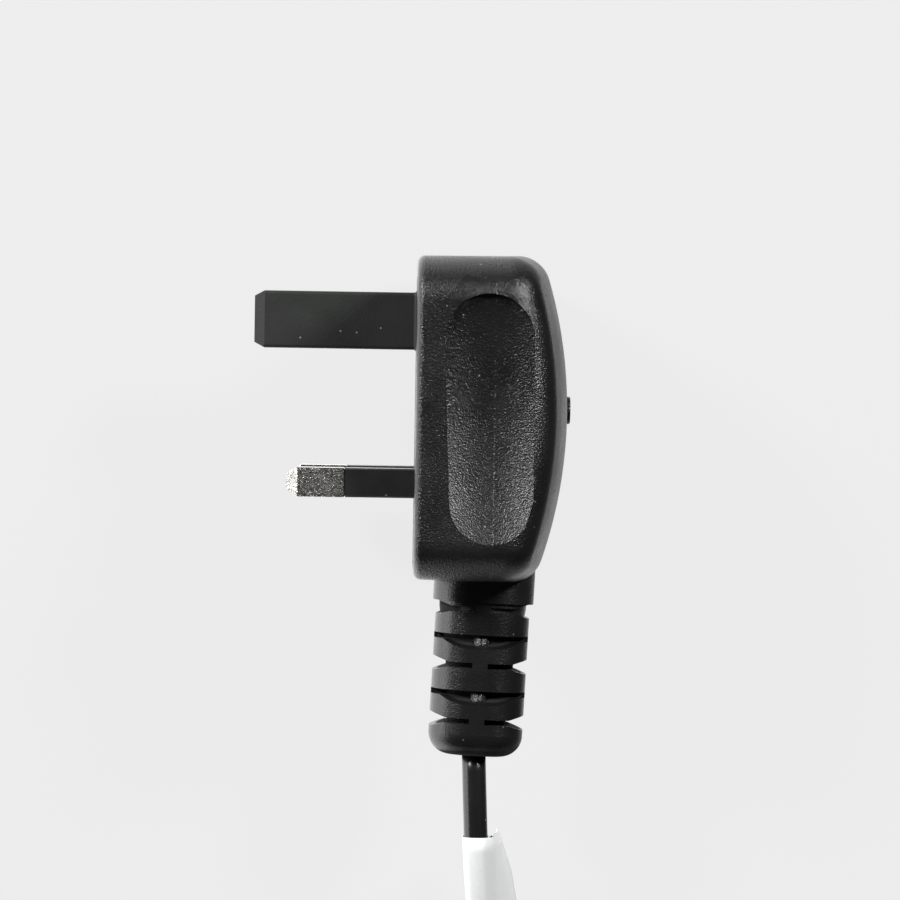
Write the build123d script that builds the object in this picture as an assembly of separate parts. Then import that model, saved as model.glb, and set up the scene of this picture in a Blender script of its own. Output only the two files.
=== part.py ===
"""Moulded three-pin mains plug with a pull-out fuse carrier, on a flat two-core lead.

The plug lies on its side as it comes to rest. +X runs from the pin face to the back,
+Y from the cord to the earth pin, +Z up. The origin is on the surface that it lies on,
under the middle of the plug. Each piece is drawn in the plug's own frame first, where
x = 0 is the pin face, y = 0 the centre line of the line and neutral pins and z = 0 the
parting plane of the mould, and is then moved to the row frame. Millimetres throughout.
"""
import os
from math import cos, pi, radians, sin, tan

from build123d import *

# Pins
PIN_SPACING = 22.2
EARTH_RISE = 22.2
PIN_WIDE, PIN_TALL, PIN_LONG = 6.35, 3.97, 17.4
PIN_CORE_WIDE, PIN_CORE_TALL = 4.9, 2.6
PIN_TIP_LONG, PIN_TIP_BEVEL = 1.5, 0.95
EARTH_WIDE, EARTH_TALL, EARTH_LONG = 3.97, 7.9, 22.4
EARTH_TIP_LONG, EARTH_TIP_BEVEL = 1.4, 0.75
SLEEVE_LONG, SLEEVE_IN_BASE = 9.4, 1.5

# Outer moulding
BODY_DEEP, BODY_WIDE = 21.0, 48.6
BODY_TOP, BODY_BOTTOM = 31.3, -13.5
TOP_CORNER, BOTTOM_CORNER = 6.5, 6.0
BACK_ARC, BACK_APEX = 64.0, 9.6
BACK_SWEEP = 110.0
BACK_EDGE, FACE_EDGE = 4.4, 1.0
BOSS_ACROSS, BOSS_PROUD, BOSS_RISE = 3.8, 0.45, 10.2

# Finger grips, one in each side
GRIP_TOP, GRIP_BOTTOM = 25.8, -7.9
GRIP_TOP_RADIUS, GRIP_BOTTOM_RADIUS = 6.05, 5.65
GRIP_TOP_X, GRIP_BOTTOM_X = 9.8, 10.3
GRIP_DEEP, GRIP_ACROSS_ARC, GRIP_ALONG_ARC = 2.6, 17.0, 80.0

# Strain relief, which leans towards the pins
RELIEF_X, RELIEF_LEAN = 9.95, 2.5
RELIEF_LONG, RELIEF_DEEP, RELIEF_WIDE, RELIEF_CORNER = 24.2, 13.0, 12.6, 5.2
NECK_LONG, NECK_DEEP, NECK_WIDE = 2.9, 13.9, 13.4
FIRST_GAP, GAP_PITCH, GAP_COUNT = 3.9, 3.86, 5
GAP_INSIDE, GAP_OUTSIDE, WEB_THICK = 0.75, 2.7, 2.1
RELIEF_END_ROUND = 3.0

# Rigid inner shell
SHELL_DEEP, SHELL_WIDE = 13.0, 35.6
SHELL_TOP, SHELL_BOTTOM = 28.2, -11.6
SHELL_CORNER, SHELL_WALL, BASE_THICK = 3.0, 1.2, 3.2
TAG_X, SHEET = 8.35, 0.4
TENON_WIDE, TENON_TALL = 3.0, 1.6
CRIMP_FOOT, CRIMP_LONG, CRIMP_GAP = 0.1, 3.8, 0.8

# Fuse and its carrier
FUSE_LONG, FUSE_CAP_RADIUS, FUSE_CAP_LONG, FUSE_CAP_WALL = 25.4, 3.175, 6.0, 0.35
FUSE_BORE_RADIUS, FUSE_WIRE_RADIUS = 1.5, 0.2
FUSE_X, FUSE_Y = 5.1, 3.5
CARRIER_LONG, CARRIER_WIDE, CARRIER_THICK = 27.4, 9.0, 1.6
CARRIER_CLEAR, JAW_CLEAR, JAW_LONG = 0.12, 0.12, 4.0

# Cord: a flat two-core sheath, as wide as a plain tube of the same diameter
CORD_WIDE, CORD_THICK = 5.3, 3.3
CORE_RADIUS, STRAND_RADIUS, CORE_SPACING = 1.05, 0.6, 2.5
SHEATH_END = -9.4

# Row frame: where the plug's own origin lies
ROW_X, ROW_Y, ROW_Z = 0.45, 3.25, BODY_WIDE / 2

# Coil of the length that is put away, in the row frame. The cord stands on edge in it, and is
# wound inwards in the top layer and outwards again in the bottom one
COIL_X, COIL_Y = -13.0, -115.5
COIL_OUTER_TURN, COIL_INNER_TURN, COIL_CORNER = 33.0, 19.4, 1.6
COIL_BOTTOM_LAYER, COIL_TOP_LAYER, COIL_HIGH = 2.65, 8.05, 10.8
STUB_X, STUB_LONG = COIL_X + COIL_OUTER_TURN, 18.0
CONNECTOR_LEVEL = 4.6

# Routes of the cord outside the coil, in the row frame
LEAD_ROUTE = [
    (9.3, -34.0, 24.3),
    (9.6, -42.0, 24.1),
    (10.2, -54.0, 22.2),
    (12.0, -65.5, 18.3),
    (15.4, -74.5, 13.4),
    (18.9, -82.5, 9.6),
    (STUB_X, -90.0, COIL_TOP_LAYER),
    (STUB_X, COIL_Y + STUB_LONG, COIL_TOP_LAYER),
]
TAIL_ROUTE = [
    (STUB_X, COIL_Y - STUB_LONG, COIL_BOTTOM_LAYER),
    (STUB_X, -143.8, COIL_BOTTOM_LAYER),
    (14.3, -153.7, 3.2),
    (4.4, -159.4, CONNECTOR_LEVEL),
    (-6.5, -159.4, CONNECTOR_LEVEL),
]

# Flag label on the cord, wrapped round these edges of the lead's path
LABEL_FIRST_EDGE, LABEL_LAST_EDGE = 2, 6
LABEL_THICK, FLAG_LONG, FLAG_TURN = 0.2, 12.0, -70.0

# Appliance connector
CONTACT_SPACING, CONTACT_BORE, CONTACT_RADIUS = 8.6, 1.2, 1.6
NOSE_LONG, NOSE_RADIUS, SOCKET_RADIUS, SOCKET_DEEP = 13.0, 3.7, 1.35, 11.5
TAIL_LONG, TAIL_WIDE, TAIL_THICK = 12.5, 8.6, 6.8
GRIP_BLOCK_LONG, GRIP_BLOCK_WIDE, GRIP_BLOCK_THICK = 15.5, 17.4, 2 * CONNECTOR_LEVEL


def span(x, y, z):
    """A box between the two values of each pair."""
    size = [pair[1] - pair[0] for pair in (x, y, z)]
    middle = [(pair[0] + pair[1]) / 2 for pair in (x, y, z)]
    return Pos(*middle) * Box(*size)


def along_x(section, start, end):
    """A section drawn with y across the page and z up it, run from one x to another."""
    return extrude(Plane((start, 0, 0), x_dir=(0, 1, 0), z_dir=(1, 0, 0)) * section, end - start)


def along_y(section, start, end):
    """A section drawn with x across the page and z up it, run towards the cord."""
    return extrude(Plane((0, start, 0), x_dir=(1, 0, 0), z_dir=(0, -1, 0)) * section, start - end)


def in_row(shape):
    """From the plug's own frame to the row frame."""
    return Pos(ROW_X, ROW_Y, ROW_Z) * shape


def relief_frame():
    """Origin where the strain relief leaves the body, with -Y along the cord."""
    return Pos(RELIEF_X, BODY_BOTTOM, 0) * Rot(0, 0, -RELIEF_LEAN)


def rounded(long, wide, radius):
    return RectangleRounded(long, wide, radius)


def crowned_block():
    """The body's outer form: flat pin face and sides, and a back crowned both ways."""
    height = BODY_TOP - BODY_BOTTOM
    middle = (BODY_TOP + BODY_BOTTOM) / 2
    outline = Pos(middle, 0) * Rectangle(height, BODY_WIDE)
    top = outline.vertices().filter_by(lambda v: v.X > middle)
    outline = fillet(top, TOP_CORNER)
    bottom = outline.vertices().sort_by(Axis.X)[:2]
    outline = fillet(bottom, BOTTOM_CORNER)
    prism = along_x(outline, 0, BODY_DEEP + 2)
    axis_x = BODY_DEEP - BACK_SWEEP
    side = Pos((axis_x + BODY_DEEP + 2) / 2, middle) * Rectangle(BACK_SWEEP + 2, height)
    side &= Pos(BODY_DEEP - BACK_ARC * 2, BACK_APEX) * Rectangle(BACK_ARC * 2, 90) + (
        Pos(BODY_DEEP - BACK_ARC, BACK_APEX) * Circle(BACK_ARC)
    )
    axis = Axis((axis_x, 0, 0), (0, 1, 0))
    crown = revolve(side.rotate(axis, 30), axis, -60)
    block = prism & crown
    back = block.edges().filter_by(lambda e: e.bounding_box().min.X > BODY_DEEP / 2)
    block = fillet(back, BACK_EDGE)
    face = block.edges().filter_by(lambda e: e.bounding_box().max.X < 0.01)
    return fillet(face, FACE_EDGE)


def grip_scoop():
    """What is taken out of the near side: a long oval with a floor hollowed both ways."""
    top = Pos(GRIP_TOP_X, GRIP_TOP - GRIP_TOP_RADIUS) * Circle(GRIP_TOP_RADIUS)
    bottom = Pos(GRIP_BOTTOM_X, GRIP_BOTTOM + GRIP_BOTTOM_RADIUS) * Circle(GRIP_BOTTOM_RADIUS)
    oval = make_hull(top.edges() + bottom.edges())
    side = BODY_WIDE / 2
    well = extrude(Pos(0, 0, side - GRIP_DEEP - 1) * oval, GRIP_DEEP + 4)
    middle = (GRIP_TOP + GRIP_BOTTOM) / 2
    bowl = Torus(GRIP_ALONG_ARC - GRIP_ACROSS_ARC, GRIP_ACROSS_ARC)
    bowl = Pos(GRIP_TOP_X, middle, side - GRIP_DEEP + GRIP_ALONG_ARC) * Rot(0, 90, 0) * bowl
    return well & bowl


def relief_gap(number):
    """One pair of slots in the strain relief, cut from both sides down to the webs.

    The slots open to the pins and the back, then to the two grips, and so on in turn."""
    level = -FIRST_GAP - number * GAP_PITCH
    inner = GAP_INSIDE / 2
    from_grips = number % 2 == 1
    up = inner if from_grips else GAP_OUTSIDE / 2
    down = GAP_OUTSIDE - up
    near, far = WEB_THICK / 2, RELIEF_DEEP / 2 + 1
    waist = 4.4
    wedge = Polygon(
        (near, level + inner),
        (waist, level + inner),
        (far, level + up),
        (far, level - down),
        (waist, level - inner),
        (near, level - inner),
        align=None,
    )
    slot = extrude(wedge, RELIEF_WIDE, both=True)
    slot += mirror(slot, about=Plane.YZ)
    return Rot(0, 90, 0) * slot if from_grips else slot


def strain_relief():
    """Rings on a tapering core, joined by webs that change sides from gap to gap."""
    ring = rounded(RELIEF_DEEP, RELIEF_WIDE, RELIEF_CORNER)
    bar = along_y(ring, 2, -RELIEF_LONG)
    end = bar.edges().filter_by(lambda e: e.bounding_box().max.Y < -RELIEF_LONG + 0.01)
    bar = fillet(end, RELIEF_END_ROUND)
    for number in range(GAP_COUNT):
        bar -= relief_gap(number)
    core = Polygon((0, 2), (6.3, 2), (6.0, -3.9), (4.7, -11.5), (4.1, -19.5), (4.1, -21), (0, -21), align=None)
    bar += revolve(core, Axis.Y)
    neck = rounded(NECK_DEEP, NECK_WIDE, RELIEF_CORNER)
    bar += along_y(neck, 3, -NECK_LONG)
    return relief_frame() * bar


def shell_outline():
    """The inner shell's outline on the pin face."""
    middle = (SHELL_TOP + SHELL_BOTTOM) / 2
    return Pos(middle, 0) * rounded(SHELL_TOP - SHELL_BOTTOM, SHELL_WIDE, SHELL_CORNER)


def shell_block():
    """The space that the inner base and its cover take up together."""
    block = along_x(shell_outline(), 0, SHELL_DEEP)
    back = block.faces().sort_by(Axis.X)[-1]
    return fillet(back.edges(), SHELL_CORNER - 0.4)


def cord_section():
    return SlotOverall(CORD_WIDE, CORD_THICK, rotation=90)


def sheath_end():
    """The straight stretch of cord sheath that the strain relief is moulded round."""
    return relief_frame() * along_y(cord_section(), BODY_BOTTOM * -1 + SHEATH_END, -RELIEF_LONG)


def body_moulding():
    """The soft outer moulding and strain relief, one shot round the inner shell."""
    body = crowned_block()
    scoop = grip_scoop()
    body -= scoop
    body -= mirror(scoop, about=Plane.XY)
    body += strain_relief()
    boss = along_x(Pos(BOSS_RISE, 0) * Circle(BOSS_ACROSS / 2), SHELL_DEEP + 4, BODY_DEEP + BOSS_PROUD)
    rim = boss.edges().sort_by(Axis.X)[-1]
    body += fillet(rim, BOSS_PROUD / 2)
    return body - shell_block() - sheath_end()


def pin_places():
    """Centre of the line pin, away from the camera's side, and of the neutral pin."""
    return {"line": -PIN_SPACING / 2, "neutral": PIN_SPACING / 2}


def tapered_pin(wide, tall, long, tip_long, bevel, end):
    """A rectangular pin from its bevelled tip at x = -long to x = end."""
    shaft = along_x(Rectangle(tall, wide), -long + tip_long, end)
    outer = Plane((-long + tip_long, 0, 0), x_dir=(0, 1, 0), z_dir=(1, 0, 0)) * Rectangle(tall, wide)
    inner = Plane((-long, 0, 0), x_dir=(0, 1, 0), z_dir=(1, 0, 0)) * (
        Rectangle(tall - 2 * bevel, wide - 2 * bevel)
    )
    return shaft + loft([inner, outer])


def earth_pin():
    pin = tapered_pin(EARTH_WIDE, EARTH_TALL, EARTH_LONG, EARTH_TIP_LONG, EARTH_TIP_BEVEL, BASE_THICK)
    return Pos(0, EARTH_RISE, 0) * pin


def live_pin(z):
    """A brass pin: full section outside the sleeve, a slimmer core through it, a tenon behind."""
    metal = tapered_pin(PIN_WIDE, PIN_TALL, PIN_LONG, PIN_TIP_LONG, PIN_TIP_BEVEL, -SLEEVE_LONG)
    shoulder = metal.edges().filter_by(lambda e: e.bounding_box().min.X > -SLEEVE_LONG - 0.01)
    metal = chamfer(shoulder, 0.22)
    metal += along_x(Rectangle(PIN_CORE_TALL, PIN_CORE_WIDE), -SLEEVE_LONG - 0.5, TAG_X)
    metal += along_x(Rectangle(TENON_TALL, TENON_WIDE), TAG_X, TAG_X + SHEET)
    head = along_x(Rectangle(TENON_TALL + 0.8, TENON_WIDE + 0.8), TAG_X + SHEET, TAG_X + SHEET + 0.5)
    metal += head
    return Pos(0, 0, z) * metal


def pin_sleeve(z):
    """The insulating sleeve moulded on the pin's slimmer core."""
    outer = along_x(Rectangle(PIN_TALL, PIN_WIDE), -SLEEVE_LONG, SLEEVE_IN_BASE)
    outer = chamfer(outer.edges().filter_by(Axis.X), 0.2)
    core = along_x(Rectangle(PIN_CORE_TALL, PIN_CORE_WIDE), -SLEEVE_LONG - 1, SLEEVE_IN_BASE + 1)
    return Pos(0, 0, z) * (outer - core)


def carrier_plan(extra):
    """The fuse carrier's outline on the pin face, grown by a clearance."""
    return Pos(FUSE_Y, 0) * rounded(CARRIER_LONG + 2 * extra, CARRIER_WIDE + 2 * extra, 1.2 + extra)


def inner_base():
    """The hard base in the pin face, with the plastic earth pin, pin towers and fuse channel."""
    base = along_x(shell_outline(), 0, BASE_THICK) + earth_pin()
    root = base.edges().filter_by(lambda e: abs(e.bounding_box().max.X) < 0.01 and abs(e.center().Z) < 3)
    root = root.filter_by(lambda e: EARTH_RISE - 5 < e.center().Y < EARTH_RISE + 5)
    base = fillet(root, 0.45)
    for z in pin_places().values():
        base += span((BASE_THICK, TAG_X), (-3.4, 3.4), (z - 4.4, z + 4.4))
    channel = along_x(carrier_plan(1.4), BASE_THICK, TAG_X - 0.4)
    base += channel - span((0, TAG_X), (SHELL_BOTTOM - 1, SHELL_BOTTOM + SHELL_WALL), (-10, 10))
    base -= along_x(carrier_plan(CARRIER_CLEAR), -1, TAG_X)
    for z in pin_places().values():
        base -= along_x(Pos(0, z) * Rectangle(PIN_CORE_TALL, PIN_CORE_WIDE), -1, TAG_X + 1)
        base -= pin_sleeve(z)
    return base


def inner_cover():
    """The hard cover that keeps the outer moulding out of the contacts."""
    cover = shell_block() - span((-1, BASE_THICK), (-40, 40), (-40, 40))
    hollow = Pos((SHELL_TOP + SHELL_BOTTOM) / 2, 0) * rounded(
        SHELL_TOP - SHELL_BOTTOM - 2 * SHELL_WALL, SHELL_WIDE - 2 * SHELL_WALL, SHELL_CORNER - SHELL_WALL
    )
    cover -= along_x(hollow, 0, SHELL_DEEP - SHELL_WALL)
    return cover - sheath_end()


def fuse_carrier():
    """The plate in the pin face that pulls out with the fuse lying between its rails."""
    carrier = along_x(carrier_plan(0), 0, CARRIER_THICK)
    rail_in, rail_out = FUSE_CAP_RADIUS + 0.15, CARRIER_WIDE / 2 - 0.2
    rail_end = FUSE_LONG / 2 - FUSE_CAP_LONG - 0.2
    for side in (-1, 1):
        edges = sorted((side * rail_in, side * rail_out))
        carrier += span((CARRIER_THICK, 6.8), (FUSE_Y - rail_end, FUSE_Y + rail_end), edges)
        wall = sorted((side * (FUSE_LONG / 2 + 0.1), side * CARRIER_LONG / 2))
        carrier += span((CARRIER_THICK - 0.2, 6.0), [FUSE_Y + y for y in wall], (-2.6, 2.6))
    notch_y = FUSE_Y + CARRIER_LONG / 2
    return carrier - span((-1, 0.8), (notch_y - 1.3, notch_y + 1), (-1.6, 1.6))


def fuse_axis(radius, low, high):
    """A round bar on the fuse's axis between two places along it."""
    return Pos(FUSE_X, 0, 0) * along_y(Circle(radius), FUSE_Y + high, FUSE_Y + low)


def fuse_barrel():
    """Ceramic tube, necked at both ends where the caps sit."""
    end = FUSE_LONG / 2 - FUSE_CAP_WALL
    neck = FUSE_CAP_RADIUS - FUSE_CAP_WALL
    waist = FUSE_LONG / 2 - FUSE_CAP_LONG - 0.1
    barrel = fuse_axis(neck, -end, end) + fuse_axis(neck + 0.2, -waist, waist)
    return barrel - fuse_axis(FUSE_BORE_RADIUS, -end - 1, end + 1)


def fuse_cap(side):
    """A drawn metal cup on one end of the barrel."""
    end = FUSE_LONG / 2
    cup = fuse_axis(FUSE_CAP_RADIUS, *sorted((side * (end - FUSE_CAP_LONG), side * end)))
    outer_rim = cup.edges().filter_by(lambda e: abs(e.center().Y - FUSE_Y) > end - 0.1)
    cup = fillet(outer_rim, 0.3)
    inside = sorted((side * (end - FUSE_CAP_LONG - 1), side * (end - FUSE_CAP_WALL)))
    return cup - fuse_axis(FUSE_CAP_RADIUS - FUSE_CAP_WALL, *inside)


def fuse_wire():
    end = FUSE_LONG / 2 - FUSE_CAP_WALL
    return fuse_axis(FUSE_WIRE_RADIUS, -end, end)


def jaws(y):
    """Two parallel spring fingers and the bridge behind them, round a fuse cap."""
    inner = FUSE_CAP_RADIUS + JAW_CLEAR
    across = (y - JAW_LONG / 2, y + JAW_LONG / 2)
    clip = span((TAG_X, TAG_X + SHEET), across, (-inner - SHEET, inner + SHEET))
    for side in (-1, 1):
        finger = sorted((side * inner, side * (inner + SHEET)))
        clip += span((2.6, TAG_X + SHEET), across, finger)
    return clip


def crimp_x():
    """Where the crimps and the core ends in them lie behind their tags."""
    return TAG_X + 2 * SHEET + STRAND_RADIUS + CRIMP_FOOT


def crimp_barrel(long):
    """A rolled crimp standing on its tag, with its seam open on the far side."""
    outer = STRAND_RADIUS + SHEET
    rolled = extrude(Circle(outer) - Circle(STRAND_RADIUS), long)
    rolled += span((-outer - CRIMP_FOOT, -outer + 0.2), (-0.5, 0.5), (0, long))
    return rolled - span((0, outer + 1), (-0.15, 0.15), (-1, long + 1))


def tag_hole(z):
    return along_x(Pos(0, z) * Rectangle(TENON_TALL, TENON_WIDE), TAG_X - 1, TAG_X + SHEET + 1)


def line_fuse_clip():
    """Clip at the earth end of the fuse, on a strap that is riveted to the line pin."""
    y = FUSE_Y + FUSE_LONG / 2 - FUSE_CAP_LONG / 2
    z = pin_places()["line"]
    clip = jaws(y)
    clip += span((TAG_X, TAG_X + SHEET), (y - JAW_LONG / 2, y + JAW_LONG / 2), (z - 2.2, 0))
    clip += span((TAG_X, TAG_X + SHEET), (-2.4, y + JAW_LONG / 2), (z - 2.2, z + 2.2))
    return clip - tag_hole(z)


def supply_fuse_clip():
    """Clip at the cord end of the fuse, with the crimp for the line core."""
    y = FUSE_Y - FUSE_LONG / 2 + FUSE_CAP_LONG / 2
    z = -CORE_SPACING / 2
    clip = jaws(y)
    low = supply_crimp_low()
    clip += span((TAG_X, TAG_X + SHEET), (low - CRIMP_GAP - 1, low + CRIMP_LONG), (z - 1.1, z + 1.1))
    return clip + Pos(crimp_x(), low, z) * Rot(-90, 0, 0) * crimp_barrel(CRIMP_LONG)


def supply_crimp_low():
    """Where the line core's crimp begins, above the jaws at the cord end of the fuse."""
    return FUSE_Y - FUSE_LONG / 2 + FUSE_CAP_LONG / 2 + JAW_LONG / 2 + CRIMP_GAP


def neutral_crimp_low():
    """Where the neutral core's crimp begins, on the tag's inner end."""
    return pin_places()["neutral"] - 6.6


def neutral_tag():
    """Tag riveted to the neutral pin, with the crimp for the neutral core."""
    z = pin_places()["neutral"]
    low = neutral_crimp_low()
    tag = span((TAG_X, TAG_X + SHEET), (-2.4, 2.4), (z - 2.2, z + 2.2))
    tag += span((TAG_X, TAG_X + SHEET), (-1.1, 1.1), (low, z - 2))
    tag += Pos(crimp_x(), 0, low) * crimp_barrel(CRIMP_LONG)
    return tag - tag_hole(z)


def sheath_mouth():
    """Where the sheath ends inside the shell, in the plug's own frame."""
    reach = -BODY_BOTTOM + SHEATH_END
    return Vector(RELIEF_X + reach * sin(radians(RELIEF_LEAN)), BODY_BOTTOM + reach * cos(radians(RELIEF_LEAN)), 0)


def core_path(points, radius):
    """A wire route of straight runs with one bend radius."""
    return FilletPolyline(*points, radius=radius) if len(points) > 2 else Polyline(*points)


def swept(radius, path):
    return sweep(Plane(path @ 0, z_dir=path % 0) * Circle(radius), path)


def core_routes():
    """Middle line of each core, from the sheath's end to the end of its crimp.

    The insulation ends at the last point but one."""
    start = sheath_mouth().Y + 0.15
    x = crimp_x()
    line_z, neutral_z = -CORE_SPACING / 2, CORE_SPACING / 2
    low, inner = supply_crimp_low(), neutral_crimp_low()
    reach = CRIMP_LONG + 0.4
    return {
        "line": [(x, start, line_z), (x, low - 0.4, line_z), (x, low + reach, line_z)],
        "neutral": [(x, start, neutral_z), (x, 0, neutral_z), (x, 0, inner - 0.4), (x, 0, inner + reach)],
    }


def core_insulation(points):
    return swept(CORE_RADIUS, core_path(points[:-1], 2.6))


def core_strands(points):
    return swept(STRAND_RADIUS, core_path(points[-2:], 1))


def corner_radii(route):
    """The largest arc that the two runs beside each corner allow, for every corner."""
    points = [Vector(*point) for point in route]
    radii = []
    for before, corner, after in zip(points, points[1:], points[2:]):
        first, second = corner - before, after - corner
        half_turn = first.get_angle(second) / 2
        radii.append(0.45 * min(first.length, second.length) / tan(radians(half_turn)))
    return radii


def tube_path(name, route):
    """The cord's middle line, with its radii and length printed."""
    radii = corner_radii(route)
    path = FilletPolyline(*route, radius=radii)
    print(name, "radii", [round(r, 1) for r in radii], "length", round(path.length, 1))
    return path


def cord_tube(name, path):
    tube = swept(CORD_WIDE / 2, path)
    whole = pi * (CORD_WIDE / 2) ** 2 * path.length
    print(name, "volume over section times length", round(tube.volume / whole, 4))
    return tube


def cord_lead(path):
    """The cord from the strain relief to the coil, cut off square where it leaves the relief."""
    mouth = relief_frame() * along_y(Rectangle(9, 9), -RELIEF_LONG + 3, -RELIEF_LONG)
    return cord_tube("cord_lead", path) - in_row(mouth)


def cord_coil():
    """Outer shape of the wound turns, with a stub where the cord comes in and where it leaves."""
    wide = COIL_OUTER_TURN - COIL_INNER_TURN + CORD_THICK + 0.2
    middle = (COIL_OUTER_TURN + COIL_INNER_TURN) / 2
    section = Pos(middle, COIL_HIGH / 2) * rounded(wide, COIL_HIGH, COIL_CORNER)
    coil = Pos(COIL_X, COIL_Y, 0) * revolve(Plane.XZ * section, Axis.Z)
    for end in (LEAD_ROUTE[-1], TAIL_ROUTE[0]):
        coil += swept(CORD_WIDE / 2, Line((STUB_X, COIL_Y, end[2]), end))
    return coil


def cord_label(path):
    """Wrap-round paper label whose stuck ends hang below the cord as a flag."""
    edges = path.edges()[LABEL_FIRST_EDGE:LABEL_LAST_EDGE]
    strip = Wire(edges)
    outer = CORD_WIDE / 2 + LABEL_THICK
    flag = Rot(0, 0, FLAG_TURN) * Pos(outer - 0.1 + FLAG_LONG / 2, 0) * Rectangle(FLAG_LONG, 2 * LABEL_THICK)
    section = Circle(outer) + flag - Circle(CORD_WIDE / 2)
    return sweep(Plane(strip @ 0, x_dir=(1, 0, 0), z_dir=strip % 0) * section, strip)


def connector_frame():
    """Origin at the cord end of the connector, with -Y towards its nose before it is turned."""
    return Pos(*TAIL_ROUTE[-1]) * Rot(0, 0, -90)


def figure_eight(radius):
    """Two circles at the contact spacing, bridged by a narrower waist."""
    lobe = CONTACT_SPACING / 2
    return Pos(lobe, 0) * Circle(radius) + Pos(-lobe, 0) * Circle(radius) + Rectangle(
        CONTACT_SPACING, radius * 1.55
    )


def connector_body():
    """Soft moulding: a ribbed tail and a flat grip behind the nose."""
    tail = along_y(rounded(TAIL_WIDE, TAIL_THICK, 2.6), 0, -TAIL_LONG - 2)
    for number in range(4):
        level = -2.4 - number * 2.8
        groove = along_y(rounded(12, 12, 1), level, level - 1.1)
        tail -= groove - along_y(rounded(TAIL_WIDE - 1.8, TAIL_THICK - 1.8, 2), level + 1, level - 3)
    block = along_y(rounded(GRIP_BLOCK_WIDE, GRIP_BLOCK_THICK, 3.6), -TAIL_LONG, -TAIL_LONG - GRIP_BLOCK_LONG)
    shoulder = block.edges().filter_by(lambda e: e.bounding_box().min.Y > -TAIL_LONG - 0.01)
    block = fillet(shoulder, 3.0)
    for side in (-1, 1):
        block -= Pos(side * (GRIP_BLOCK_WIDE / 2 + 11.2), -TAIL_LONG - 8.5, 0) * Cylinder(12.4, 20)
    body = tail + block
    nose_start = -TAIL_LONG - GRIP_BLOCK_LONG + 3
    body -= along_y(figure_eight(NOSE_RADIUS), nose_start, nose_start - 4)
    return connector_frame() * body


def socket_places():
    return {"line": CONTACT_SPACING / 2, "neutral": -CONTACT_SPACING / 2}


def nose_ends():
    start = -TAIL_LONG - GRIP_BLOCK_LONG + 3
    return start, -TAIL_LONG - GRIP_BLOCK_LONG - NOSE_LONG


def connector_nose():
    """Hard figure-of-eight nose with two contact sockets."""
    start, tip = nose_ends()
    nose = along_y(figure_eight(NOSE_RADIUS), start, tip)
    rim = nose.edges().filter_by(lambda e: e.bounding_box().max.Y < tip + 0.01)
    nose = chamfer(rim, 0.5)
    for x in socket_places().values():
        nose -= Pos(x, 0, 0) * along_y(Circle(SOCKET_RADIUS), tip + SOCKET_DEEP, tip - 1)
        nose -= Pos(x, 0, 0) * along_y(Circle(CONTACT_RADIUS), tip + SOCKET_DEEP, tip + 1.5)
    return connector_frame() * nose


def connector_contact(x):
    """Rolled spring sleeve inside one socket."""
    _, tip = nose_ends()
    sleeve = along_y(Circle(CONTACT_RADIUS) - Circle(CONTACT_BORE), tip + SOCKET_DEEP, tip + 1.6)
    slit = span((-0.2, 0.2), (tip, tip + SOCKET_DEEP + 1), (0, 3))
    return connector_frame() * Pos(x, 0, 0) * (sleeve - slit)


lead_path = tube_path("cord_lead", LEAD_ROUTE)
tail_path = tube_path("cord_tail", TAIL_ROUTE)
routes = core_routes()

plug_pieces = {
    "body_moulding": body_moulding(),
    "inner_base": inner_base(),
    "inner_cover": inner_cover(),
    "fuse_carrier": fuse_carrier(),
    "fuse_barrel": fuse_barrel(),
    "fuse_cap_earth_end": fuse_cap(1),
    "fuse_cap_cord_end": fuse_cap(-1),
    "fuse_wire": fuse_wire(),
    "line_fuse_clip": line_fuse_clip(),
    "supply_fuse_clip": supply_fuse_clip(),
    "neutral_tag": neutral_tag(),
    "cord_sheath_end": sheath_end(),
}
for name, z in pin_places().items():
    plug_pieces[name + "_pin"] = live_pin(z)
    plug_pieces[name + "_pin_sleeve"] = pin_sleeve(z)
for name, points in routes.items():
    plug_pieces[name + "_core_insulation"] = core_insulation(points)
    plug_pieces[name + "_core_strands"] = core_strands(points)

lead_pieces = {
    "cord_lead": cord_lead(lead_path),
    "cord_coil": cord_coil(),
    "cord_tail": cord_tube("cord_tail", tail_path),
    "cord_label": cord_label(lead_path),
    "connector_body": connector_body(),
    "connector_nose": connector_nose(),
}
for name, x in socket_places().items():
    lead_pieces["connector_" + name + "_contact"] = connector_contact(x)

os.makedirs("parts", exist_ok=True)
for name, shape in plug_pieces.items():
    export_step(in_row(shape), f"parts/{name}.step")
for name, shape in lead_pieces.items():
    export_step(shape, f"parts/{name}.step")
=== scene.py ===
"""Moulded mains plug lying on its side, with its flat cord, label and appliance connector."""
import math

import bmesh
import bpy
from mathutils import Matrix, Vector


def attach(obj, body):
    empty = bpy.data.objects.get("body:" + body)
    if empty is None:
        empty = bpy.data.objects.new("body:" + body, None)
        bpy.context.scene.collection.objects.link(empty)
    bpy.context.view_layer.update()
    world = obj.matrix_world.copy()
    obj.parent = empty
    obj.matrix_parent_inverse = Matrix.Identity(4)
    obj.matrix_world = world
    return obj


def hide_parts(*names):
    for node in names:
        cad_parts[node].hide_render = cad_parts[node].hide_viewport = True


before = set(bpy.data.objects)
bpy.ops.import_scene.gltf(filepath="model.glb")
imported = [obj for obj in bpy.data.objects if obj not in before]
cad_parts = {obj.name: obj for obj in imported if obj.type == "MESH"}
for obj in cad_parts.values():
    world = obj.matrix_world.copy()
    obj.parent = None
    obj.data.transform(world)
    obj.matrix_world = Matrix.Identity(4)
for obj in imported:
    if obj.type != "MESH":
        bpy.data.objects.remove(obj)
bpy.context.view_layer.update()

MM = 0.001


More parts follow.
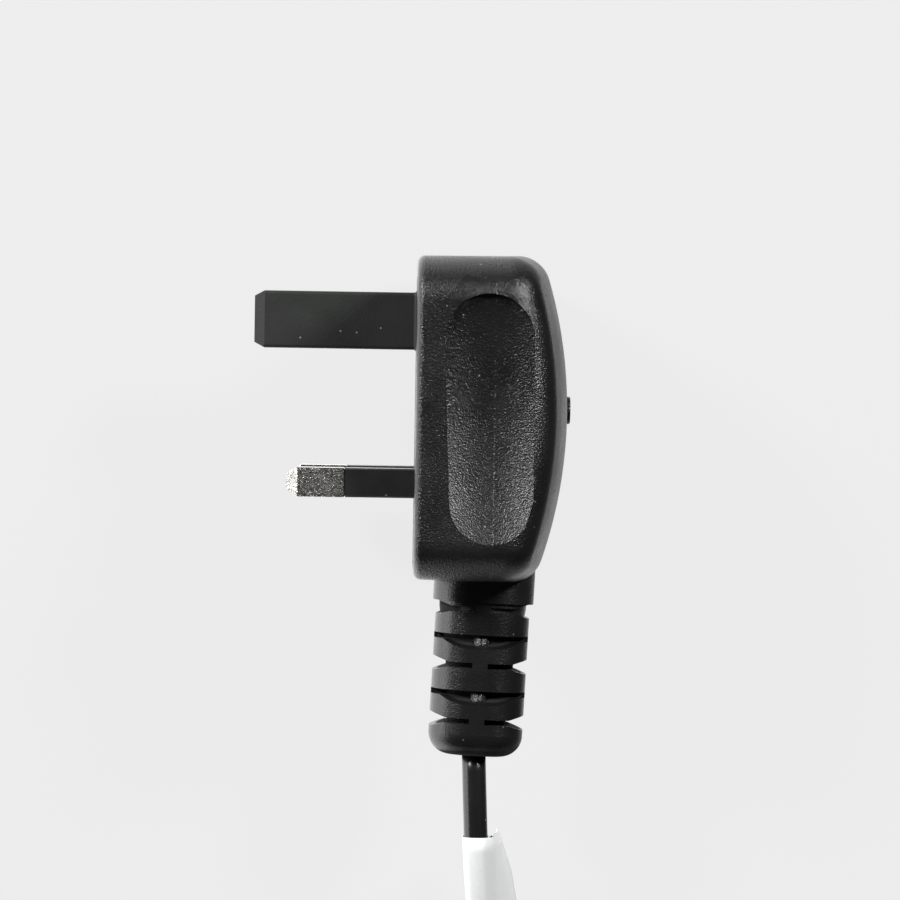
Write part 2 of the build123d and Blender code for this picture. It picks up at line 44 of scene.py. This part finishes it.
# Viewpoint
# The camera looks straight down on the plug's side from about 0.7 m, through a long lens.
# The small turns are those of the photograph: the plug wasn't quite square to the camera.
CAMERA_PLACE = (-1.707 * MM, 17.066 * MM, 724.3 * MM)
CAMERA_PITCH, CAMERA_YAW, CAMERA_ROLL = -0.766, -0.578, 0.917
CAMERA_LENS, CAMERA_SENSOR = 202.11, 36.0
NEAREST_SEEN, FURTHEST_SEEN = 0.05, 20.0


def new_object(name, data):
    """An object in the scene."""
    made = bpy.data.objects.new(name, data)
    bpy.context.scene.collection.objects.link(made)
    return made


camera = new_object("camera", bpy.data.cameras.new("camera"))
camera.data.lens = CAMERA_LENS
camera.data.sensor_width = CAMERA_SENSOR
camera.data.clip_start = NEAREST_SEEN
camera.data.clip_end = FURTHEST_SEEN
camera.matrix_world = (
    Matrix.Translation(CAMERA_PLACE)
    @ Matrix.Rotation(math.radians(CAMERA_PITCH), 4, "X")
    @ Matrix.Rotation(math.radians(CAMERA_YAW), 4, "Y")
    @ Matrix.Rotation(math.radians(CAMERA_ROLL), 4, "Z")
)
bpy.context.scene.camera = camera
bpy.context.scene.view_settings.view_transform = "Standard"


# Table and light
# A pale light table under a dark room: the camera sees the table almost evenly bright, with only
# a breath of the plug's shadow. Two soft boxes stand high beyond the earth pin's end, one to each
# side, and a low one lights the pins.
PALE = 0.826
TABLE_SEEN_PAINT, TABLE_SEEN_GLOW = 0.022, 0.803
TABLE_GLOW_AT_PINS, TABLE_GLOW_AT_BACK, GLOW_FADE = 3.2, 0.08, 0.05
TABLE_ACROSS = 6.0
SKY_LIGHT = 0.05
LIGHT_AIM = (0, 0, 20 * MM)
SOFT_BOXES = {
    "key_from_pins_side": ((-0.54, 0.41, 0.57), (0.17, 0.17), 12.0),
    "key_from_back_side": ((0.54, 0.41, 0.57), (0.17, 0.17), 11.4),
    "low_box_at_pins": ((-0.80, 0.02, 0.16), (0.7, 0.26), 3.6),
}


def new_material(name):
    """A material, its node tree and its Principled shader."""
    material = bpy.data.materials.new(name)
    material.use_nodes = True
    return material, material.node_tree, material.node_tree.nodes["Principled BSDF"]


def fill(tree, socket, value):
    """Links an input to another node's output, or sets its value."""
    if isinstance(value, bpy.types.NodeSocket):
        tree.links.new(value, socket)
    else:
        socket.default_value = value


def add_node(tree, kind, settings=(), **sockets):
    """A shader node with its settings made and its inputs set or linked."""
    made = tree.nodes.new("ShaderNode" + kind)
    for name, value in dict(settings).items():
        setattr(made, name, value)
    for name, value in sockets.items():
        fill(tree, made.inputs[name.replace("_", " ")], value)
    return made


def position(tree):
    """The place of the point that is shaded."""
    return add_node(tree, "NewGeometry").outputs["Position"]


def by_camera_ray(tree, seen, unseen):
    """One shader for what the camera sees directly and another for all other rays."""
    ray = add_node(tree, "LightPath")
    both = tree.nodes.new("ShaderNodeMixShader")
    tree.links.new(ray.outputs["Is Camera Ray"], both.inputs[0])
    tree.links.new(unseen.outputs[0], both.inputs[1])
    tree.links.new(seen.outputs[0], both.inputs[2])
    return both.outputs[0]


def glowing_paint(shader, paint, glow):
    """Matt paint over a light."""
    shader.inputs["Base Color"].default_value = (paint, paint, paint, 1)
    shader.inputs["Roughness"].default_value = 1.0
    shader.inputs["Specular IOR Level"].default_value = 0.0
    shader.inputs["Emission Color"].default_value = (1, 1, 1, 1)
    shader.inputs["Emission Strength"].default_value = glow
    return shader


def light_table():
    """The surface that the plug lies on."""
    mesh = bpy.data.meshes.new("light_table")
    half = TABLE_ACROSS / 2
    corners = [(-half, -half, 0), (half, -half, 0), (half, half, 0), (-half, half, 0)]
    mesh.from_pydata(corners, [], [(0, 1, 2, 3)])
    table = new_object("light_table", mesh)
    material, tree, shader = new_material("light_table")
    seen = glowing_paint(shader, TABLE_SEEN_PAINT, TABLE_SEEN_GLOW)
    unseen = glowing_paint(tree.nodes.new("ShaderNodeBsdfPrincipled"), 0.0, 1.0)
    place = add_node(tree, "SeparateXYZ", Vector=position(tree))
    glow = add_node(
        tree,
        "MapRange",
        Value=place.outputs["X"],
        From_Min=-GLOW_FADE,
        From_Max=GLOW_FADE,
        To_Min=TABLE_GLOW_AT_PINS,
        To_Max=TABLE_GLOW_AT_BACK,
    )
    tree.links.new(glow.outputs[0], unseen.inputs["Emission Strength"])
    surface = tree.nodes["Material Output"].inputs["Surface"]
    tree.links.new(by_camera_ray(tree, seen, unseen), surface)
    mesh.materials.append(material)


def soft_box(name, place, size, power):
    """A rectangular soft box that faces the plug."""
    light = bpy.data.lights.new(name, "AREA")
    light.shape = "RECTANGLE"
    light.size, light.size_y = size
    light.energy = power
    box = new_object(name, light)
    box.location = place
    towards = Vector(LIGHT_AIM) - Vector(place)
    box.rotation_mode = "QUATERNION"
    box.rotation_quaternion = towards.to_track_quat("-Z", "Y")


def room_light():
    """A dim even room, which the camera sees as the table's pale grey."""
    world = bpy.data.worlds.new("room")
    bpy.context.scene.world = world
    world.use_nodes = True
    tree = world.node_tree
    lit = tree.nodes["Background"]
    lit.inputs["Color"].default_value = (1, 1, 1, 1)
    lit.inputs["Strength"].default_value = SKY_LIGHT
    seen = add_node(tree, "Background", Color=(PALE, PALE, PALE, 1), Strength=1.0)
    tree.links.new(by_camera_ray(tree, seen, lit), tree.nodes["World Output"].inputs["Surface"])


light_table()
room_light()
for box_name, (box_place, box_size, box_power) in SOFT_BOXES.items():
    soft_box(box_name, box_place, box_size, box_power)


# Cord
# Flat two-core mains cord of 5.3 by 3.3 mm in soft black PVC, extruded over both cores. It leaves
# the strain relief on edge and stays on edge through a coil of eight turns, wound inwards in the
# top layer and outwards in the bottom one, and turns flat before its connector.
CORD_WIDE, CORD_THICK = 5.3, 3.3
COIL_X, COIL_Y = -13.0, -115.5
COIL_OUTER_TURN, TURN_PITCH, TURNS_IN_LAYER = 33.0, 3.4, 4
BOTTOM_LAYER, TOP_LAYER = 2.65, 8.05
STUB_X, STUB_LONG = COIL_X + COIL_OUTER_TURN, 18.0
CONNECTOR_LEVEL = 4.6
LEAD_ROUTE = [
    (9.3, -34.0, 24.3),
    (9.6, -42.0, 24.1),
    (10.2, -54.0, 22.2),
    (12.0, -65.5, 18.3),
    (15.4, -74.5, 13.4),
    (18.9, -82.5, 9.6),
    (STUB_X, -90.0, TOP_LAYER),
    (STUB_X, COIL_Y + STUB_LONG, TOP_LAYER),
]
TAIL_ROUTE = [
    (STUB_X, COIL_Y - STUB_LONG, BOTTOM_LAYER),
    (STUB_X, -143.8, BOTTOM_LAYER),
    (14.3, -153.7, 3.2),
    (4.4, -159.4, CONNECTOR_LEVEL),
    (-6.5, -159.4, CONNECTOR_LEVEL),
]
STEPS_IN_TURN = 24
DROP_TURNS = 0.25
SPLINE_ORDER, SPLINE_STEPS = 3, 6
TWIST_LONG = 34.0
SECTION_STEPS = 10
PITS_FINER, PITS_DEEP = 1.7, 0.5
SPECK_EDGE, SPECK_CORE = 0.14, 0.06
DUST_COLOUR = (0.16, 0.16, 0.15)
PATCHES_PER_METRE = 120.0
PATCH_LOW, PATCH_HIGH = 0.3, 0.7


def smooth(share):
    """0 to 1 with level ends."""
    share = min(1.0, max(0.0, share))
    return share * share * (3 - 2 * share)


def coil_route():
    """Points of the turns: inwards in the top layer, down at the middle, then outwards."""
    route = []
    for number in range(2 * TURNS_IN_LAYER * STEPS_IN_TURN):
        turns = (number + 0.5) / STEPS_IN_TURN
        from_outside = min(turns, 2 * TURNS_IN_LAYER - turns)
        radius = COIL_OUTER_TURN - TURN_PITCH * from_outside
        dropped = smooth((turns - TURNS_IN_LAYER) / DROP_TURNS + 0.5)
        height = TOP_LAYER + (BOTTOM_LAYER - TOP_LAYER) * dropped
        reach = radius / math.cos(math.pi / STEPS_IN_TURN)
        angle = -2 * math.pi * turns
        route.append((COIL_X + reach * math.cos(angle), COIL_Y + reach * math.sin(angle), height))
    return route


def points_along(route):
    """Points of the smooth spline that a route controls, in metres."""
    curve = bpy.data.curves.new("route", "CURVE")
    curve.dimensions = "3D"
    spline = curve.splines.new("NURBS")
    spline.points.add(len(route) - 1)
    for point, place in zip(spline.points, route):
        point.co = (*(Vector(place) * MM), 1)
    spline.order_u = SPLINE_ORDER
    spline.use_endpoint_u = True
    spline.resolution_u = SPLINE_STEPS
    holder = bpy.data.objects.new("route", curve)
    line = bpy.data.meshes.new_from_object(holder)
    points = [vertex.co.copy() for vertex in line.vertices]
    bpy.data.objects.remove(holder)
    bpy.data.curves.remove(curve)
    bpy.data.meshes.remove(line)
    return points


def cord_axes(points):
    """At each point, where the cord's wide side and its narrow side point."""
    left = [0.0]
    for point, before in zip(points[:0:-1], points[-2::-1]):
        left.append(left[-1] + (point - before).length)
    axes = []
    for number, length_left in enumerate(reversed(left)):
        before, after = points[max(0, number - 1)], points[min(len(points) - 1, number + 1)]
        along = (after - before).normalized()
        level = along.cross(Vector((0, 0, 1))).normalized()
        upright = level.cross(along)
        turn = math.radians(90) * smooth(length_left / (TWIST_LONG * MM))
        wide = level * math.cos(turn) + upright * math.sin(turn)
        narrow = upright * math.cos(turn) - level * math.sin(turn)
        axes.append((wide, narrow))
    return axes


def flat_section(wide, thick, steps):
    """Points round a flat section with round edges, as (along the wide side, across it)."""
    radius, straight = thick / 2, (wide - thick) / 2
    places = []
    for side in (1, -1):
        for number in range(steps + 1):
            angle = math.radians(-90 + 180 * number / steps)
            place = (straight + radius * math.cos(angle), radius * math.sin(angle))
            places.append((side * place[0], side * place[1]))
    return places


def faces_between(made, rows, closed):
    """Faces from each row of points to the following one, closed to a tube or left a strip."""
    for row, following in zip(rows, rows[1:]):
        for number in range(len(row) if closed else len(row) - 1):
            after = (number + 1) % len(row)
            made.faces.new((row[number], row[after], following[after], following[number]))


def finished_mesh(name, made):
    """The smooth-shaded mesh of what was made."""
    mesh = bpy.data.meshes.new(name)
    made.to_mesh(mesh)
    made.free()
    mesh.shade_smooth()
    return mesh


def tube_mesh(name, points, axes, section):
    """A closed tube of one section along points."""
    made = bmesh.new()
    rings = []
    for point, (wide, narrow) in zip(points, axes):
        rings.append([made.verts.new(point + wide * a * MM + narrow * b * MM) for a, b in section])
    faces_between(made, rings, closed=True)
    made.faces.new(rings[0])
    made.faces.new(rings[-1])
    bmesh.ops.recalc_face_normals(made, faces=made.faces)
    return finished_mesh(name, made)


def new_piece(name, mesh, material):
    """An object of the plug with its material."""
    piece = new_object(name, mesh)
    mesh.materials.clear()
    mesh.materials.append(material)
    return piece


def calculate(tree, operation, *values, kind="Math", clamped=False):
    """The result of a maths node whose inputs are other nodes' outputs or plain values."""
    settings = {"operation": operation}
    if clamped:
        settings["use_clamp"] = True
    made = add_node(tree, kind, settings)
    for socket, value in zip(made.inputs, values):
        fill(tree, socket, value)
    return made.outputs[0]


def new_group(name, inputs, outputs):
    """An empty shader node group with named inputs and outputs, and its two end nodes."""
    group = bpy.data.node_groups.new(name, "ShaderNodeTree")
    for socket, value in inputs.items():
        made = group.interface.new_socket(name=socket, in_out="INPUT", socket_type="NodeSocketFloat")
        made.default_value = value
    for socket, kind in outputs.items():
        group.interface.new_socket(name=socket, in_out="OUTPUT", socket_type="NodeSocket" + kind)
    return group, group.nodes.new("NodeGroupInput"), group.nodes.new("NodeGroupOutput")


def place_group(tree, group, **values):
    """A node group placed in a material, with its inputs set."""
    placed = tree.nodes.new("ShaderNodeGroup")
    placed.node_tree = group
    for name, value in values.items():
        placed.inputs[name.replace("_", " ")].default_value = value
    return placed


def moulded_grain_group():
    """Fine pits and grains that a sparked mould leaves on plastic, and a slow unevenness."""
    group, given, result = new_group(
        "moulded_grain",
        {"Grains per metre": 4000.0, "Patches per metre": PATCHES_PER_METRE},
        {"Height": "Float", "Patches": "Float"},
    )
    place = position(group)
    grains = given.outputs["Grains per metre"]
    coarse = add_node(group, "TexNoise", Vector=place, Scale=grains, Detail=3.0, Roughness=0.6)
    finer = calculate(group, "MULTIPLY", grains, PITS_FINER)
    pits = add_node(group, "TexVoronoi", {"feature": "F1"}, Vector=place, Scale=finer)
    height = calculate(
        group, "MULTIPLY_ADD", pits.outputs["Distance"], PITS_DEEP, coarse.outputs["Fac"]
    )
    slow = given.outputs["Patches per metre"]
    patches = add_node(group, "TexNoise", Vector=place, Scale=slow, Detail=4.0, Roughness=0.65)
    group.links.new(height, result.inputs["Height"])
    group.links.new(patches.outputs["Fac"], result.inputs["Patches"])
    return group


def dust_group():
    """Sparse pale specks of dust and lint."""
    group, given, result = new_group(
        "dust",
        {"Cells per metre": 900.0, "Share left clean": 0.9},
        {"Mask": "Float"},
    )
    cells_per_metre = given.outputs["Cells per metre"]
    cells = add_node(
        group, "TexVoronoi", {"feature": "F1"}, Vector=position(group), Scale=cells_per_metre
    )
    near = add_node(
        group,
        "MapRange",
        Value=cells.outputs["Distance"],
        From_Min=SPECK_EDGE,
        From_Max=SPECK_CORE,
    )
    split = add_node(group, "SeparateColor", Color=cells.outputs["Color"])
    chosen = calculate(
        group, "GREATER_THAN", split.outputs["Red"], given.outputs["Share left clean"]
    )
    mask = calculate(group, "MULTIPLY", near.outputs[0], chosen)
    group.links.new(mask, result.inputs["Mask"])
    return group


moulded_grain = moulded_grain_group()
dust = dust_group()


def colour_between(tree, share, low, high):
    """A colour that follows a mask from one colour to another."""
    mix = tree.nodes.new("ShaderNodeMix")
    mix.data_type = "RGBA"
    tree.links.new(share, mix.inputs["Factor"])
    for socket, value in ((mix.inputs[6], low), (mix.inputs[7], high)):
        fill(tree, socket, value if isinstance(value, bpy.types.NodeSocket) else (*value, 1))
    return mix.outputs[2]


def plastic(name, dark, light, roughness, grain, bump, clean=0.93, level=0.5, shaped=None):
    """Moulded plastic: a grain, uneven colour and gloss, and a few specks of dust."""
    material, tree, shader = new_material(name)
    surface = place_group(
        tree, moulded_grain, Grains_per_metre=grain, Patches_per_metre=PATCHES_PER_METRE
    )
    lint = place_group(tree, dust, Share_left_clean=clean)
    patches, height = surface.outputs["Patches"], surface.outputs["Height"]
    body = colour_between(tree, patches, dark, light)
    body = colour_between(tree, lint.outputs["Mask"], body, DUST_COLOUR)
    gloss = add_node(
        tree,
        "MapRange",
        Value=patches,
        From_Min=PATCH_LOW,
        From_Max=PATCH_HIGH,
        To_Min=roughness[0],
        To_Max=roughness[1],
    )
    if shaped:
        height = shaped(tree, height)
    relief = add_node(tree, "Bump", Height=height, Strength=1.0, Distance=bump * MM)
    fill(tree, shader.inputs["Base Color"], body)
    fill(tree, shader.inputs["Roughness"], gloss.outputs[0])
    fill(tree, shader.inputs["Normal"], relief.outputs["Normal"])
    fill(tree, shader.inputs["Specular IOR Level"], level)
    return material


cord_pvc = plastic(
    "cord_pvc",
    dark=(0.005, 0.005, 0.005),
    light=(0.009, 0.009, 0.009),
    roughness=(0.24, 0.34),
    grain=1500.0,
    bump=0.01,
    clean=0.97,
    level=0.35,
)
cord_points = points_along(LEAD_ROUTE + coil_route() + TAIL_ROUTE)
cord_section = flat_section(CORD_WIDE, CORD_THICK, SECTION_STEPS)
cord_tube = tube_mesh("cord", cord_points, cord_axes(cord_points), cord_section)
cord = new_piece("cord", cord_tube, cord_pvc)
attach(cord, "plug")
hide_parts("cord_lead", "cord_coil", "cord_tail")


# Flag label
# A strip of white paper wrapped once round the cord close to the strain relief. Its two
# ends are stuck face to face and stand off as a flag, which hangs down beside the cord.
LABEL_FROM, LABEL_TO, LABEL_LOWEST = -45.7, -71.0, 11.0
PAPER = 0.12
FLAG_LONG, FLAG_BOW, FLAG_STEPS = 12.0, 0.35, 8
FLAG_ROOT = (2.2, -1.6)
FLAG_TURNS = [(0.0, -85.0), (0.25, -77.0), (0.55, -74.0), (1.0, -79.0)]
WRAP_START = [(2.55, 0.0), (2.25, 1.3)]
HALF_TURN_STEPS = 12
FIBRES_PER_METRE, FIBRE_DEEP = 2600.0, 0.02


def between(table, share):
    """A value read from a short table by straight lines."""
    for (start, low), (end, high) in zip(table, table[1:]):
        if share <= end:
            return low + (high - low) * (share - start) / (end - start)
    return table[-1][1]


def label_section(share):
    """The strip's middle line round the cord, as (across to the flag's side, up)."""
    half_wide, half_thick = CORD_WIDE / 2 + PAPER, CORD_THICK / 2 + PAPER
    straight = half_wide - half_thick
    turn = math.radians(between(FLAG_TURNS, share))
    out = Vector((math.cos(turn), math.sin(turn)))
    off = Vector((-out.y, out.x))
    flag = []
    for number in range(FLAG_STEPS, -1, -1):
        bow = FLAG_BOW * math.sin(math.pi * number / FLAG_STEPS)
        flag.append(Vector(FLAG_ROOT) + out * FLAG_LONG * number / FLAG_STEPS + off * bow)
    wrap = [Vector(place) for place in WRAP_START]
    for middle, steps in ((straight, range(2, 13)), (-straight, range(12, 22))):
        for number in steps:
            angle = math.radians(180 * number / HALF_TURN_STEPS)
            wrap.append(
                Vector((half_thick * math.cos(angle), middle + half_thick * math.sin(angle)))
            )
    outer = [place + off * PAPER * 0.5 for place in flag]
    inner = [place - off * PAPER * 0.5 for place in reversed(flag)]
    return outer + wrap + inner


def label_mesh():
    """The strip swept along the cord between its two edges."""
    stations = [
        point
        for point in cord_points
        if LABEL_TO * MM <= point.y <= LABEL_FROM * MM and point.z > LABEL_LOWEST * MM
    ]
    made = bmesh.new()
    rows = []
    for point in stations:
        share = (point.y - stations[0].y) / (stations[-1].y - stations[0].y)
        section = label_section(share)
        rows.append([made.verts.new(point + Vector((a * MM, 0, up * MM))) for a, up in section])
    faces_between(made, rows, closed=False)
    bmesh.ops.recalc_face_normals(made, faces=made.faces)
    return finished_mesh("flag_label", made)


def paper_material():
    """White coated paper with a faint fibre."""
    material, tree, shader = new_material("label_paper")
    fibre = add_node(
        tree,
        "TexNoise",
        Vector=position(tree),
        Scale=FIBRES_PER_METRE,
        Detail=5.0,
        Roughness=0.7,
    ).outputs["Fac"]
    tint = colour_between(tree, fibre, (0.46, 0.47, 0.465), (0.55, 0.56, 0.555))
    relief = add_node(tree, "Bump", Height=fibre, Strength=0.25, Distance=FIBRE_DEEP * MM)
    fill(tree, shader.inputs["Base Color"], tint)
    fill(tree, shader.inputs["Normal"], relief.outputs["Normal"])
    fill(tree, shader.inputs["Roughness"], 0.5)
    return material


label = new_piece("flag_label", label_mesh(), paper_material())
thickness = label.modifiers.new("paper", "SOLIDIFY")
thickness.thickness = PAPER * MM
thickness.offset = 0
label.parent = cord
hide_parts("cord_label")


# Outer moulding
# Soft black PVC shot round the inner shell in one piece with the strain relief. The mould was
# spark eroded, so the body has a sparkling grain and the relief a finer one. Its two ends have
# a slight draft towards both sides.
HALF_WIDE = 24.3
RELIEF_TOP, RELIEF_FADE, RELIEF_GRAIN = -10.6, 0.5, 0.5
PARTING_X, PARTING_HALF, PARTING_DEEP = 11.05, 0.11, 0.2
RELIEF_AXIS_X, RELIEF_CORE, RELIEF_RING = 9.9, (1.3, 100.0, 1.1), 5.2
SLOT_DEEP, SLOT_SHALLOW, SLOT_SHADE = 1.1, 0.35, 0.12
CORNER_DRAFT_FROM = 7.0
EARTH_END, EARTH_END_STARTS, EARTH_END_DRAFT = 34.55, 29.7, 0.62
CORD_END, CORD_END_STARTS, CORD_END_DRAFT = -10.25, -5.2, 0.98


def seamed_height(tree, grain):
    """The grain, finer on the strain relief, and the mould's parting line round the middle."""
    place = add_node(tree, "SeparateXYZ", Vector=position(tree))
    on_body = add_node(
        tree,
        "MapRange",
        Value=place.outputs["Y"],
        From_Min=(RELIEF_TOP - RELIEF_FADE) * MM,
        From_Max=(RELIEF_TOP + RELIEF_FADE) * MM,
    ).outputs[0]
    share = calculate(tree, "MULTIPLY_ADD", on_body, 1 - RELIEF_GRAIN, RELIEF_GRAIN)
    aside = calculate(tree, "SUBTRACT", place.outputs["X"], PARTING_X * MM)
    seam = add_node(
        tree,
        "MapRange",
        {"interpolation_type": "SMOOTHSTEP"},
        Value=calculate(tree, "ABSOLUTE", aside),
        From_Max=PARTING_HALF * MM,
        To_Min=-PARTING_DEEP,
        To_Max=0.0,
    )
    line = calculate(tree, "MULTIPLY", seam.outputs[0], on_body)
    return calculate(tree, "MULTIPLY_ADD", grain, share, line)


def moulding_finish(name, shaped=None):
    """The moulding's black PVC."""
    return plastic(
        name,
        dark=(0.003, 0.003, 0.003),
        light=(0.006, 0.006, 0.006),
        roughness=(0.25, 0.35),
        grain=2900.0,
        bump=0.082,
        level=0.38,
        shaped=shaped,
    )


def slots_painted_shade(material):
    """Painted shade in the relief's slots: darker colour and duller gloss below the surface of its
    rings.
    """
    tree = material.node_tree
    shader = tree.nodes["Principled BSDF"]
    axis = (RELIEF_AXIS_X * MM, 0, HALF_WIDE * MM)
    core = [size * MM for size in RELIEF_CORE]
    aside = calculate(tree, "SUBTRACT", position(tree), axis, kind="VectorMath")
    across = calculate(tree, "ABSOLUTE", aside, kind="VectorMath")
    past = calculate(tree, "SUBTRACT", across, core, kind="VectorMath")
    beyond = calculate(tree, "MAXIMUM", past, kind="VectorMath")
    reach = add_node(tree, "VectorMath", {"operation": "LENGTH"}, Vector=beyond)
    painted_shade_factor = add_node(
        tree,
        "MapRange",
        Value=reach.outputs["Value"],
        From_Min=(RELIEF_RING - SLOT_DEEP) * MM,
        From_Max=(RELIEF_RING - SLOT_SHALLOW) * MM,
        To_Min=SLOT_SHADE,
    ).outputs[0]
    # Painted shade: the moulding's colour is scaled down inside the slots, darkest at their deepest.
    colour = shader.inputs["Base Color"].links[0].from_socket
    shaded = add_node(tree, "VectorMath", {"operation": "SCALE"}, Vector=colour, Scale=painted_shade_factor)
    gloss = shader.inputs["Roughness"].links[0].from_socket
    dull = calculate(tree, "DIVIDE", gloss, painted_shade_factor, clamped=True)
    fill(tree, shader.inputs["Base Color"], shaded.outputs[0])
    fill(tree, shader.inputs["Roughness"], dull)
    return material


def drafted_housing():
    """The moulding with the draft that its two ends have towards both sides."""
    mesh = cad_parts["body_moulding"].data.copy()
    mesh.name = "housing"
    for vertex in mesh.vertices:
        place = vertex.co / MM
        past_middle = max(0.0, abs(place.z - HALF_WIDE) - CORNER_DRAFT_FROM)
        aside = past_middle / (HALF_WIDE - CORNER_DRAFT_FROM)
        at_earth_end = smooth((place.y - EARTH_END_STARTS) / (EARTH_END - EARTH_END_STARTS))
        at_cord_end = smooth((place.y - CORD_END_STARTS) / (CORD_END - CORD_END_STARTS))
        vertex.co.y -= aside * at_earth_end * EARTH_END_DRAFT * MM
        vertex.co.y += aside * at_cord_end * CORD_END_DRAFT * MM
    return mesh


# The moulding's colour carries painted shade in the relief's slots.
moulding_pvc = slots_painted_shade(moulding_finish("moulding_pvc", seamed_height))
housing = new_piece("housing", drafted_housing(), moulding_pvc)
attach(housing, "plug")
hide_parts("body_moulding")


# Webs
# Moulded in one with the strain relief: each long slot that opens to the sides has a web across
# its middle, which keeps the rings apart when the cord is bent.
WEB_PLACES = ((10.05, -19.1), (9.7, -26.8))
WEB_WIDE, WEB_LONG, WEB_REACH = 2.0, 3.4, 5.7
WEB_ROUND, WEB_ROUND_STEPS = 0.25, 3
RELIEF_LEAN = -2.5


def web_mesh():
    """Both webs, each a bar with rounded edges that runs through the core from side to side."""
    made = bmesh.new()
    lean = Matrix.Rotation(math.radians(RELIEF_LEAN), 4, "Z")
    size = Matrix.Diagonal((WEB_WIDE * MM, WEB_LONG * MM, 2 * WEB_REACH * MM, 1))
    for x, y in WEB_PLACES:
        place = Matrix.Translation((x * MM, y * MM, HALF_WIDE * MM))
        bmesh.ops.create_cube(made, size=1.0, matrix=place @ lean @ size)
    bmesh.ops.bevel(
        made, geom=made.edges, offset=WEB_ROUND * MM, segments=WEB_ROUND_STEPS, affect="EDGES"
    )
    return finished_mesh("relief_webs", made)


webs = new_piece("relief_webs", web_mesh(), moulding_finish("web_pvc"))
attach(webs, "plug")


# Hard base
# Black glass-filled nylon: the plate in the pin face with the plastic earth pin in one
# piece, and the fuse carrier that slides out of it.
def dress(material, *names):
    """Gives CAD pieces their material."""
    for name in names:
        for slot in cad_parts[name].material_slots:
            slot.material = material


base_nylon = plastic(
    "base_nylon",
    dark=(0.009, 0.01, 0.009),
    light=(0.013, 0.014, 0.013),
    roughness=(0.46, 0.6),
    grain=2600.0,
    bump=0.02,
    level=0.2,
)
dress(base_nylon, "inner_base", "fuse_carrier")


# Pin sleeves
# Smooth black nylon moulded over the pins' slimmer roots, so that no finger meets live metal.
sleeve_nylon = plastic(
    "sleeve_nylon",
    dark=(0.006, 0.006, 0.006),
    light=(0.01, 0.01, 0.01),
    roughness=(0.3, 0.4),
    grain=2000.0,
    bump=0.006,
    clean=0.97,
)
dress(sleeve_nylon, "line_pin_sleeve", "neutral_pin_sleeve")


# Pins
# Cropped and bevelled brass bar with a satin nickel plate, tumbled to a speckled grey.
SPECKLES_TO_A_GRAIN = 0.8


def plated_metal(name, dark, light, roughness, grain, bump):
    """Plated metal with a tumbled, speckled surface."""
    material, tree, shader = new_material(name)
    speckles = grain * SPECKLES_TO_A_GRAIN
    surface = place_group(tree, moulded_grain, Grains_per_metre=grain, Patches_per_metre=speckles)
    patches, height = surface.outputs["Patches"], surface.outputs["Height"]
    speckle = add_node(tree, "MapRange", Value=patches, From_Min=PATCH_LOW, From_Max=PATCH_HIGH)
    gloss = add_node(tree, "MapRange", Value=patches, To_Min=roughness[0], To_Max=roughness[1])
    relief = add_node(tree, "Bump", Height=height, Strength=1.0, Distance=bump * MM)
    tint = colour_between(tree, speckle.outputs[0], dark, light)
    fill(tree, shader.inputs["Base Color"], tint)
    fill(tree, shader.inputs["Roughness"], gloss.outputs[0])
    fill(tree, shader.inputs["Normal"], relief.outputs["Normal"])
    fill(tree, shader.inputs["Metallic"], 1.0)
    return material


nickel = plated_metal(
    "nickel",
    dark=(0.10, 0.098, 0.09),
    light=(0.56, 0.55, 0.52),
    roughness=(0.18, 0.36),
    grain=4200.0,
    bump=0.053,
)
dress(nickel, "line_pin", "neutral_pin")


# Inner parts
# Inside the shell, seen only when the carrier is drawn out: its cover, the spring clips, the
# crimps and the two cores, and the cartridge fuse with its plated caps.
cover_plastic = plastic(
    "cover_plastic", (0.05, 0.05, 0.05), (0.08, 0.08, 0.08), (0.5, 0.6), 1800.0, 0.02
)
dress(cover_plastic, "inner_cover")
spring_brass = plated_metal(
    "spring_brass", (0.55, 0.38, 0.15), (0.72, 0.54, 0.26), (0.25, 0.4), 1500.0, 0.008
)
dress(spring_brass, "line_fuse_clip", "supply_fuse_clip", "neutral_tag")
copper = plated_metal("copper", (0.55, 0.24, 0.12), (0.75, 0.4, 0.24), (0.3, 0.45), 3000.0, 0.01)
dress(copper, "line_core_strands", "neutral_core_strands", "fuse_wire")
brown_pvc = plastic("brown_pvc", (0.11, 0.04, 0.015), (0.15, 0.055, 0.02), (0.3, 0.4), 1500.0, 0.008)
dress(brown_pvc, "line_core_insulation")
blue_pvc = plastic("blue_pvc", (0.02, 0.10, 0.34), (0.03, 0.13, 0.42), (0.3, 0.4), 1500.0, 0.008)
dress(blue_pvc, "neutral_core_insulation")
fuse_ceramic = plastic(
    "fuse_ceramic", (0.62, 0.57, 0.46), (0.74, 0.69, 0.58), (0.25, 0.4), 1200.0, 0.01
)
dress(fuse_ceramic, "fuse_barrel")
cap_plate = plated_metal(
    "cap_plate", (0.55, 0.54, 0.52), (0.72, 0.71, 0.69), (0.15, 0.3), 1500.0, 0.006
)
dress(cap_plate, "fuse_cap_earth_end", "fuse_cap_cord_end")
dress(cord_pvc, "cord_sheath_end")


# Appliance connector
# Black PVC moulded on the cord's far end, with a ribbed tail and a flat waisted grip, round a
# hard black nose of figure-of-eight form that holds two brass contacts.
connector_pvc = plastic(
    "connector_pvc", (0.012, 0.012, 0.012), (0.02, 0.02, 0.02), (0.42, 0.54), 2600.0, 0.025
)
dress(connector_pvc, "connector_body")
dress(base_nylon, "connector_nose")
dress(spring_brass, "connector_line_contact", "connector_neutral_contact")
